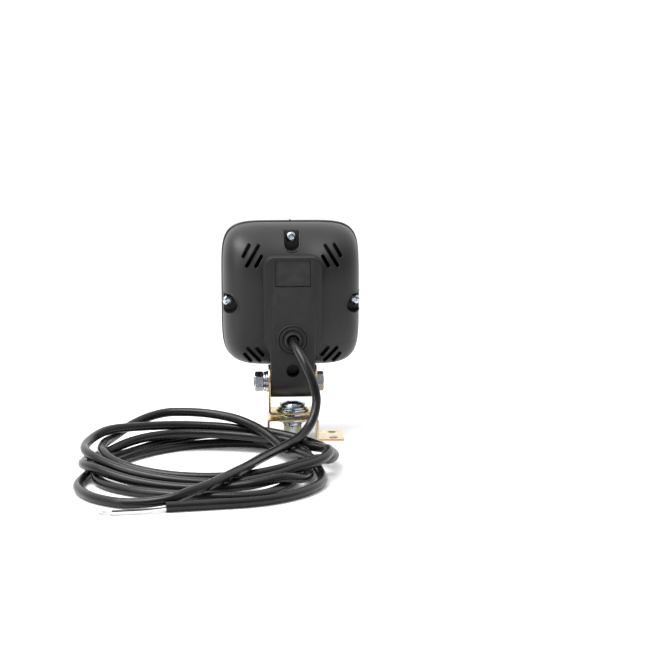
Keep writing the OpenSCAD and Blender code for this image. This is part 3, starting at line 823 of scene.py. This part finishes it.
def make_housing():
    verts, faces = dome(HOUSING_A, HOUSING_B, DOME_DEPTH)
    body = mesh_object("housing", verts, faces)
    outer = BVHTree.FromPolygons([tuple(v) for v in verts], faces)
    boolean(body, spine(), "UNION")
    boolean(body, dome(HOUSING_A - WALL, HOUSING_B - WALL, DOME_DEPTH - WALL, 1.0, 16))
    half, top, low = SPINE_HALF - WALL, SPINE_TOP - WALL, 73
    inside = rounded([(-half, top, 5), (half, top, 5), (half, low, 0), (-half, low, 0)])
    boolean(body, along_y(inside, SPINE_Y + WALL, 6))
    for i in range(len(SCREWS)):
        wall = mesh_object("wall", *along_y(pocket_outline(i, POCKET_WALL), POCKET_BACK, SEAT_Y + 2))
        boolean(wall, dome(HOUSING_A - 0.4, HOUSING_B - 0.4, DOME_DEPTH - 0.4, 0.0, 16), "INTERSECT")
        boolean(body, solid_of(wall), "UNION")
    boolean(body, leg(), "UNION")
    for i in range(len(SCREWS)):
        boolean(body, along_y(pocket_outline(i), POCKET_BACK, SEAT_Y))
    boolean(body, joined(*[along_y(v, -14, 20) for v in vents()]))
    label = rectangle(*LABEL_LOW, *LABEL_HIGH)
    recess = rounded([(x, z, 0.5) for x, z in label], 3)
    boolean(body, along_y(recess, SPINE_Y - 1, SPINE_Y + LABEL_DEEP))
    groove = []
    for by, y in ((0.05, 1.0), (0.05, 1.9), (0.6, 1.9), (0.6, 1.0)):
        (low_x, low_z), (high_x, high_z) = LABEL_LOW, LABEL_HIGH
        corners = rectangle(low_x + by, low_z + by, high_x - by, high_z - by)
        groove.append([(x, SPINE_Y + y, z) for x, z in corners])
    boolean(body, loft(groove, closed=True))
    for bore in (
        rod("y", (0, 0, GROMMET_Z), GROMMET_BORE, SPINE_Y - 1, SPINE_Y + 8),
        rod("x", (0, 0, TILT_Z), TILT_BORE, -20, 20),
        rod("y", (0, 0, LEG_HOLE_Z), LEG_HOLE_R, SPINE_Y - 1, 2),
    ):
        boolean(body, bore)
    fitted("housing", joined(solid_of(body), *housing_ridges(outer)), "black_plastic", "lamp")


def housing_ridges(surface):
    """Raised lips round the pockets and vents, and the faint crease across the lower back."""
    ridges = []
    for i in range(len(SCREWS)):
        line = surface_line(surface, pocket_outline(i, 0.6), -0.15, closed=False)
        if len(line) > 3:
            ridges.append(tube(line, 0.55, 10))
    for v in vents():
        line = surface_line(surface, inset(v, -0.42), -0.14)
        ridges.append(tube(line, 0.3, 8))
    for side in (-1, 1):
        crease = [(side * x, z, 0) for x, z in CREASE]
        line = surface_line(surface, smooth_path(crease, 0.8)[:, :2], -0.1, closed=False)
        ridges.append(tube(line, 0.24, 8))
    ridges.append(spine_edge())
    return ridges


def spine_edge():
    """Fine bead round the spine's edge, down to where it narrows into the leg."""
    outline = spine_outline(-0.2)
    above = outline[:, 1] > LEG_TOP
    first = np.flatnonzero(above & ~np.roll(above, 1))[0]
    line = np.roll(outline, -first, axis=0)[:above.sum()]
    line = np.column_stack([line[:, 0], np.full(len(line), SPINE_Y + 0.25), line[:, 1]])
    return tube(even_steps(line, 0.8), 0.24, 8)


def solid_of(piece):
    """Takes a piece apart into points and faces in millimetres, and removes it."""
    verts = np.array([v.co for v in piece.data.vertices], float) / MM
    faces = [tuple(p.vertices) for p in piece.data.polygons]
    discard(piece)
    return verts, faces


# ---------------------------------------------------------------- front of the lamp

def framed(profile):
    """Sweeps a closed (inset, y) profile round the bezel's outline."""
    return loft([rim_ring(BEZEL_A - by, BEZEL_B - by, y) for by, y in profile], closed=True)


def make_bezel():
    front = BEZEL_FRONT
    profile = rounded([
        (0.5, RIM_Y, 0.2), (0.0, RIM_Y + 0.7, 0.4), (0.0, front - 4.2, 0.3), (0.55, front - 3.8, 0.3),
        (0.55, front - 2.6, 0.3), (0.2, front - 2.2, 0.3), (1.3, front, 0.9), (6.2, front, 0.7),
        (7.0, front - 1.5, 0.2), (2.7, front - 1.5, 0.2), (2.7, RIM_Y, 0.2),
    ], 4)
    solids = [framed(profile)]
    boss_top = RIM_Y + 5.3
    boss = [(2.2, RIM_Y), (3.2, RIM_Y), (3.2, boss_top), (2.2, boss_top)]
    for x, z in SCREWS:
        solids.append(turned(boss, (x, 0, z), "y", closed=True, count=40))
    solids.append(along_y(rectangle(-1.2, 151.5, 1.2, 157.5), RIM_Y, boss_top))
    # Small moulding nub at the middle of the top edge
    top = BEZEL_HIGH[2]
    nub = [(1.1, top - 0.4), (1.0, top + 0.3), (0.5, top + 0.55)]
    solids.append(turned(nub, (0, RIM_Y + 3.0, 0), "z", count=24))
    fitted("bezel", joined(*solids), "bezel_plastic", "lamp")


def lens_depth(x, z, a, b, rise):
    """Height of the lens's shallow bulge above its flat edge."""
    out = np.clip((np.abs(x / a) ** 3.4 + np.abs(z / b) ** 3.4), 0, 1)
    return rise * (1 - out) ** 0.55


def flutes(x, z):
    """Pressed optics inside the lens: tall vertical flutes, wider at the sides, over two shallow bars."""
    middle = 17
    width = np.where(np.abs(x) < middle, 3.4, 5.2)
    phase = np.where(np.abs(x) < middle, x, x - np.sign(x) * middle)
    wave = np.abs(np.cos(np.pi * phase / width))
    bars = 0.16 * np.abs(np.cos(np.pi * z / 17.0)) ** 8
    return 0.62 * wave + bars


def make_lens():
    """Glass with a flat flange, a bulged smooth face, and fluted optics on its inner side."""
    a, b = BEZEL_A - 7.3, BEZEL_B - 7.3
    back, face = RIM_Y + 5.5, RIM_Y + 8
    front_rings = [rim_ring(BEZEL_A - 3, BEZEL_B - 3, back), rim_ring(BEZEL_A - 3, BEZEL_B - 3, face - 0.3),
                   rim_ring(BEZEL_A - 3.3, BEZEL_B - 3.3, face), rim_ring(a + 0.2, b + 0.2, face)]
    shares = 1 - np.linspace(0, 1, 26)[1:-1] ** 1.6
    for share in shares:
        ring = rim_ring(a * share, b * share, face, mixed_square(share))
        ring[:, 1] = face + lens_depth(ring[:, 0], ring[:, 2] - CENTRE_Z, a, b, 6.4)
        front_rings.append(ring)
    inner_a, inner_b = a - 2.8, b - 2.8
    inner_rings = []
    for share in np.linspace(0.02, 1, 64):
        ring = rim_ring(inner_a * share, inner_b * share, 0, mixed_square(share))
        x, z = ring[:, 0], ring[:, 2] - CENTRE_Z
        fade = np.clip((1 - share) * 14, 0, 1)
        ring[:, 1] = back + 0.1 + lens_depth(x, z, inner_a, inner_b, 5.2) - flutes(x, z) * fade
        inner_rings.append(ring)
    fitted("lens", loft(front_rings + inner_rings, closed=True), "lens_glass", "lamp", sharp=24)


def mixed_square(share):
    """Outline squareness from the rim's at share 1 to nearly round in the middle."""
    return 2.4 + (RIM_SQUARE - 2.4) * share**2


def make_reflector():
    """Paraboloid with a square-cornered flange and a rolled lip at the bulb hole."""
    focal, vertex, mouth, skin = 10.0, 0.5, 36.5, 0.8
    radii = np.linspace(6.2, mouth, 30)
    bowl = [(r, vertex + r * r / (4 * focal)) for r in radii]
    back = [(r + skin * 0.6, vertex + r * r / (4 * focal) - skin) for r in radii[::-1]]
    profile = [(5.9, bowl[0][1] - 0.6)] + bowl + back
    bowl_solid = turned(profile, (0, 0, CENTRE_Z), "y", closed=True, count=120)
    rim = bowl[-1][1]
    outer = rim_ring(HOUSING_A - 2.8, HOUSING_B - 2.8, 0)
    polar = np.arctan2(outer[:, 2] - CENTRE_Z, outer[:, 0])
    mouth_ring = np.column_stack([mouth * np.cos(polar), 0 * polar, CENTRE_Z + mouth * np.sin(polar)])
    rings = []
    for ring, y in ((mouth_ring, rim - 0.7), (mouth_ring, rim + 0.1), (outer, rim + 0.1), (outer, rim - 0.7)):
        rings.append(ring + [0, y, 0])
    flange = mesh_object("flange", *loft(rings, closed=True))
    for x, z in SCREWS:
        boolean(flange, rod("y", (x, 0, z), 4, 20, 50))
    boolean(flange, along_y(rectangle(-1.7, 148, 1.7, 160), 20, 50))
    reflector = fitted("reflector", joined(bowl_solid, solid_of(flange)), "reflector_metal", "lamp")
    # The bowl's hidden back faces take the dark bezel plastic, and only its front face is bright metal
    reflector.data.materials.append(MATERIALS["bezel_plastic"])
    for face in reflector.data.polygons:
        if face.normal.y < 0.05:
            face.material_index = 1


def make_bulb():
    """Capsule bulb with its coiled filament on two legs, and metal base."""
    z = CENTRE_Z
    base = rounded([
        (0.01, -5, 0), (4.6, -5, 0.6), (4.6, -1.6, 0.2), (8.8, -1.6, 0.3), (8.8, -0.4, 0.3), (5.4, -0.4, 0.3),
        (5.4, 4, 0.6), (0.01, 4, 0)], 4)
    fitted("bulb_base", turned(base, (0, 0, z), "y", closed=True), "bulb_metal", "lamp")
    outer = [(0.01, 4.1), (4.2, 4.1), (4.5, 5.2), (4.6, 7), (4.6, 17.5), (4.3, 19.6), (3.4, 21.6),
             (2.0, 23.1), (0.9, 23.8), (0.01, 24)]
    inner = [(0.01, 22.9), (1.8, 22.2), (3.0, 20.6), (3.7, 18.8), (3.8, 17), (3.8, 8), (3.4, 6), (0.01, 5.4)]
    fitted("bulb_glass", turned(outer + inner, (0, 0, z), "y", closed=True), "bulb_glass", "lamp")
    turns, points = 11, []
    for s in np.linspace(0, 1, turns * 12):
        a = 2 * np.pi * turns * s
        points.append((-2.4 + 4.8 * s, 14.0 + 0.55 * math.cos(a), z + 0.55 * math.sin(a)))
    legs = [tube(smooth_path([(side * 1.2, 5, z), (side * 1.4, 9, z), (side * 2.4, 14, z)], 0.6), 0.22, 8)
            for side in (-1, 1)]
    filament = mesh_object("filament", *joined(tube(np.array(points), 0.13, 6), *legs))
    finish_piece(filament, "tinned_copper", "lamp")


# ---------------------------------------------------------------- fasteners

def hex_profile(across_flats, low, high, inner_r=0.01, both=True):
    """Profile of a hexagon with turned-off corners, as a function of the angle."""
    def profile(angle):
        flat = across_flats / 2 / math.cos((angle + math.pi / 6) % (math.pi / 3) - math.pi / 6)
        steps = (0, 0.25, 0.5, 0.8, 1.2)
        cone = [min(flat, across_flats / 2 * 0.965 + h / math.tan(math.radians(28))) for h in steps]
        under = [(r if both else flat, low + h) for r, h in zip(cone, steps)]
        over = [(r, high - h) for r, h in zip(cone, steps)]
        return [(inner_r, low)] + under + over[::-1] + [(inner_r, high)]
    return profile


def thread(axis, origin, low, high, radius=4.0, pitch=1.25, depth=0.62, per_turn=48, rows_per_pitch=8):
    """Threaded rod end: a helical ridge, tapering away at the tip."""
    angles = np.linspace(0, 2 * np.pi, per_turn, endpoint=False)
    heights = np.linspace(low, high, round((high - low) / pitch * rows_per_pitch) + 1)
    rings = []
    for h in heights:
        wave = np.abs(((h / pitch - angles / (2 * np.pi)) % 1) * 2 - 1)
        fade = np.clip(min(h - low, high - h) / 0.9, 0, 1)
        r = radius - depth * np.clip(wave * 1.25 - 0.1, 0, 1) * (0.35 + 0.65 * fade) - (1 - fade) * 0.35
        local = np.column_stack([r * np.cos(angles), r * np.sin(angles), np.full(per_turn, h)])
        rings.append(local @ AXES[axis] + np.asarray(origin, float))
    return loft(rings)


def washer(outer, inner, low, high, edge=0.2):
    return rounded([(inner, low, edge), (outer, low, edge), (outer, high, edge), (inner, high, edge)], 3)


def make_case_screws():
    """Pan-head screws with a cross recess, facing back out of their pockets."""
    solids = []
    seat = SEAT_Y
    for k, (x, z) in enumerate(SCREWS):
        head = [(0.01, seat - 2.85), (1.6, seat - 2.75), (2.7, seat - 2.4), (3.5, seat - 1.85),
                (3.9, seat - 1.2), (4.0, seat - 0.6), (3.9, seat), (2.0, seat),
                (2.0, RIM_Y + 3.8), (0.01, RIM_Y + 4.8)]
        screw = mesh_object("screw", *turned(head, (x, 0, z), "y", count=64))
        turn = math.radians(20 + 25 * k)
        for quarter in (0, math.pi / 2):
            c, s = math.cos(turn + quarter), math.sin(turn + quarter)
            cross = lambda l, w: np.array([(l * c - w * s, l * s + w * c), (-l * c - w * s, -l * s + w * c),
                                           (-l * c + w * s, -l * s - w * c), (l * c + w * s, l * s - w * c)])
            rings = [np.column_stack([x + p[:, 0], np.full(4, y), z + p[:, 1]])
                     for p, y in ((cross(2.35, 0.5), seat - 3.4), (cross(1.3, 0.32), seat - 1.0))]
            boolean(screw, loft(rings))
        solids.append(solid_of(screw))
    fitted("case_screws", joined(*solids), "zinc", "lamp")


def make_grommet():
    """Round rubber grommet: flange with a groove, dished face and a short boot round the lead."""
    r = CORD_D / 2
    profile = rounded([
        (r, -5.5, 0), (9.6, -5.5, 0.6), (9.6, -2.6, 0.2), (7.9, -2.5, 0), (7.9, 0, 0), (11.7, 0, 0),
        (11.7, 1.2, 0.5), (10.6, 1.5, 0.4), (10.0, 0.3, 0.25), (9.4, 1.6, 0.4), (8.0, 1.75, 0.5),
        (7.4, 0.9, 0.4), (5.9, 1.1, 0.4), (5.5, 4.9, 0.4), (4.7, 5.2, 0.3), (4.3, 1.6, 0.3), (r, 1.4, 0)], 5)
    flipped = [(a, -b) for a, b in profile]
    solid = turned(flipped, (0, SPINE_Y, GROMMET_Z), "y", closed=True, count=128)
    fitted("grommet", solid, "seal_rubber", "lamp")


# Heights in the swivel stack: the top of the yoke's base, and the underside of the bolt's cup head
YOKE_TOP = box_mm("yoke")[0][2] + 1.5
CUP_SEAT = YOKE_TOP + 3.0
# Radii of the holes in the washers and nuts, and the nuts' size across flats
BOLT_HOLE, NECK_HOLE, NUT_BORE, NUT_FLATS = 4.2, 5.76, 4.02, 13


def reach(node, axis):
    """Where a CAD node starts and ends along an axis, in millimetres."""
    low, high = box_mm(node)
    return low["xyz".index(axis)], high["xyz".index(axis)]


def plated(node, solid):
    fitted(node, solid, "zinc", "yoke")


def bolt_ring(profile, at=(0, 0, 0), axis="z", **more):
    """A washer or nut: a closed section turned about its bolt."""
    return turned(profile, at, axis, closed=True, **more)


def spring_washer(node, at, axis, gap_at):
    """Nearly a full turn of square wire, its two ends sprung apart."""
    low, high = reach(node, axis)
    inner, outer, gap = 4.1, 7.4, math.radians(7)
    section = rounded([(inner, 0, 0.2), (outer, 0, 0.2), (outer, 1, 0.2), (inner, 1, 0.2)], 2)
    rings = []
    for s in np.linspace(0, 1, 70):
        a = math.radians(gap_at) + gap / 2 + (2 * np.pi - gap) * s
        height = low + 0.12 + section[:, 1] * (high - low - 0.24) + 0.22 * (s - 0.5)
        local = np.column_stack([section[:, 0] * math.cos(a), section[:, 0] * math.sin(a), height])
        rings.append(local @ AXES[axis] + np.asarray(at, float))
    plated(node, loft(rings))


def make_swivel_stack():
    """Cup-head bolt, its washers above and below the foot, spring washer and nut."""
    seat = CUP_SEAT
    head = rounded([(0.01, seat, 0), (8.9, seat, 0.2), (9.6, seat + 1.0, 0.3), (10.2, seat + 2.1, 0.12),
                    (9.85, seat + 2.25, 0.12), (9.2, seat + 1.3, 0.2), (8.9, seat + 1.8, 0.3),
                    (7.9, seat + 3.0, 1.5), (4.0, seat + 4.2, 4), (0.01, seat + 4.5, 0)], 6)
    square = rounded([(-4, -4, 0.3), (4, -4, 0.3), (4, 4, 0.3), (-4, 4, 0.3)], 3)
    neck = prism(square, YOKE_TOP - 1.5, seat, "z")
    origin = (0, 0, 0)
    plated("swivel_bolt", joined(turned(head, origin, "z"), neck, thread("z", origin, 1.6, YOKE_TOP - 1.4)))
    plated("head_washers", joined(
        bolt_ring(washer(12, NECK_HOLE, YOKE_TOP, YOKE_TOP + 1.58)),
        bolt_ring(washer(11, NECK_HOLE, YOKE_TOP + 1.6, seat - 0.02))))
    plated("swivel_washer", bolt_ring(washer(11.5, BOLT_HOLE, *reach("swivel_washer", "z"), 0.35)))
    low, high = reach("dish_washer", "z")
    dish = rounded([(BOLT_HOLE, low, 0.1), (9.5, low, 0.8), (11.9, low + 1.0, 0.8),
                    (13.2, high - 1.2, 0.5), (13.2, high, 0.25), (BOLT_HOLE, high, 0.1)], 4)
    plated("dish_washer", bolt_ring(dish))
    spring_washer("swivel_spring_washer", origin, "z", 250)
    nut = hex_profile(NUT_FLATS, *reach("swivel_nut", "z"), NUT_BORE)
    plated("swivel_nut", bolt_ring(nut, count=96))


def make_tilt_bolt():
    """Hex bolt through the leg along X, its washers and its nut."""
    at = (0, 0, TILT_Z)
    low, high = reach("tilt_bolt", "x")
    face = reach("yoke", "x")[1]
    shank_end = -17.9
    shank = turned([(4.0, shank_end), (4.0, face + 0.2)], at, "x", count=64)
    head = bolt_ring(hex_profile(NUT_FLATS, face, high, 0.01, both=False), at, "x", turn=8 + 90)
    plated("tilt_bolt", joined(shank, head, thread("x", at, low, shank_end)))
    plated("tilt_washer", bolt_ring(washer(8, BOLT_HOLE, *reach("tilt_washer", "x")), at, "x"))
    spring_washer("tilt_spring_washer", at, "x", 200)
    nut = hex_profile(NUT_FLATS, *reach("tilt_nut", "x"), NUT_BORE)
    plated("tilt_nut", bolt_ring(nut, at, "x", turn=24 + 90))


def refined(node, slot, body, width, sharp=30):
    """Piece with a CAD node's shape, its flats cleaned up and its edges broken by a small round."""
    mesh = FRAME_NODES[node].data.copy()
    if mesh.attributes.get("custom_normal"):
        mesh.attributes.remove(mesh.attributes["custom_normal"])
    mesh.name = node + "_refined"
    edit = bmesh.new()
    edit.from_mesh(mesh)
    bmesh.ops.remove_doubles(edit, verts=edit.verts, dist=2e-6)
    bmesh.ops.dissolve_limit(edit, angle_limit=math.radians(0.6), verts=edit.verts, edges=edit.edges)
    edges = [e for e in edit.edges if e.is_manifold and e.calc_face_angle(0) > math.radians(sharp)]
    bmesh.ops.bevel(edit, geom=edges, offset=width * MM, offset_type="OFFSET", segments=2, profile=0.5,
                    affect="EDGES", clamp_overlap=True)
    edit.to_mesh(mesh)
    edit.free()
    tidy_mesh(mesh, 40)
    finish_piece(add_object(node + "_piece", mesh), slot, body, node)


def make_brackets():
    refined("yoke", "yellow_zinc", "yoke", 0.22)
    refined("foot", "yellow_zinc", "base", 0.22)
    refined("spade_terminals", "brass", "lamp", 0.1)


def coat_cad_nodes():
    """Materials for the CAD nodes whose shape is already right."""
    for name, slot in (("lens_gasket", "seal_rubber"), ("bulb_clip", "bulb_metal"),
                       ("wire_live", "core_white"), ("wire_earth", "core_black"),
                       ("inner_sheath", "sheath_pvc"), ("leg_sleeve", "zinc")):
        node = FRAME_NODES[name]
        node.data.materials.clear()
        node.data.materials.append(MATERIALS[slot])


# ---------------------------------------------------------------- studio

def area_light(name, place, aim, size, power):
    data = bpy.data.lights.new(name, "AREA")
    data.shape = "RECTANGLE"
    data.size, data.size_y = size
    data.energy = power
    light = add_object(name, data)
    light.location = place
    light.rotation_euler = (Vector(aim) - Vector(place)).to_track_quat("-Z", "Y").to_euler()


def make_studio():
    mesh = bpy.data.meshes.new("table_top")
    half = 12.0
    corners = [(-half, -half, 0), (half, -half, 0), (half, half, 0), (-half, half, 0)]
    mesh.from_pydata(corners, [], [(0, 1, 2, 3)])
    mesh.materials.append(table_top("table_top"))
    floor = add_object("table_top", mesh)
    make_world()
    bpy.context.scene.view_settings.view_transform = "Standard"
    area_light("softbox", (-0.42, -0.25, 0.95), (0, -0.05, 0.08), (0.7, 0.5), 10)
    area_light("side_fill", (-0.9, -0.6, 0.55), (0, 0, 0.08), (0.4, 0.6), 2.5)


def make_world():
    """Soft studio surround: bright behind and overhead, dim on the camera's side, white where seen."""
    m = Nodes("studio", world=True)
    toward = m.node("ShaderNodeSeparateXYZ", Vector=m.place).outputs
    behind = m.maths("MULTIPLY_ADD", toward["Y"], 0.40, 0.45)
    above = m.maths("MULTIPLY_ADD", toward["Z"], 0.42, behind)
    light = m.ramp(above, (0.08, grey(0.04)), (0.42, grey(0.3)), (0.8, grey(1.0)))
    seen = m.node("ShaderNodeLightPath").outputs["Is Camera Ray"]
    m.set(Color=m.mix(light, (1, 1, 1, 1), seen), Strength=1.5)
    bpy.context.scene.world = m.made


# ---------------------------------------------------------------- build

make_camera()
make_materials()
cord_piece, centreline, cord_length = make_cord()
make_cord_end(centreline)
make_housing()
make_bezel()
make_lens()
make_reflector()
make_bulb()
make_case_screws()
make_grommet()
make_swivel_stack()
make_tilt_bolt()
make_brackets()
coat_cad_nodes()
make_studio()
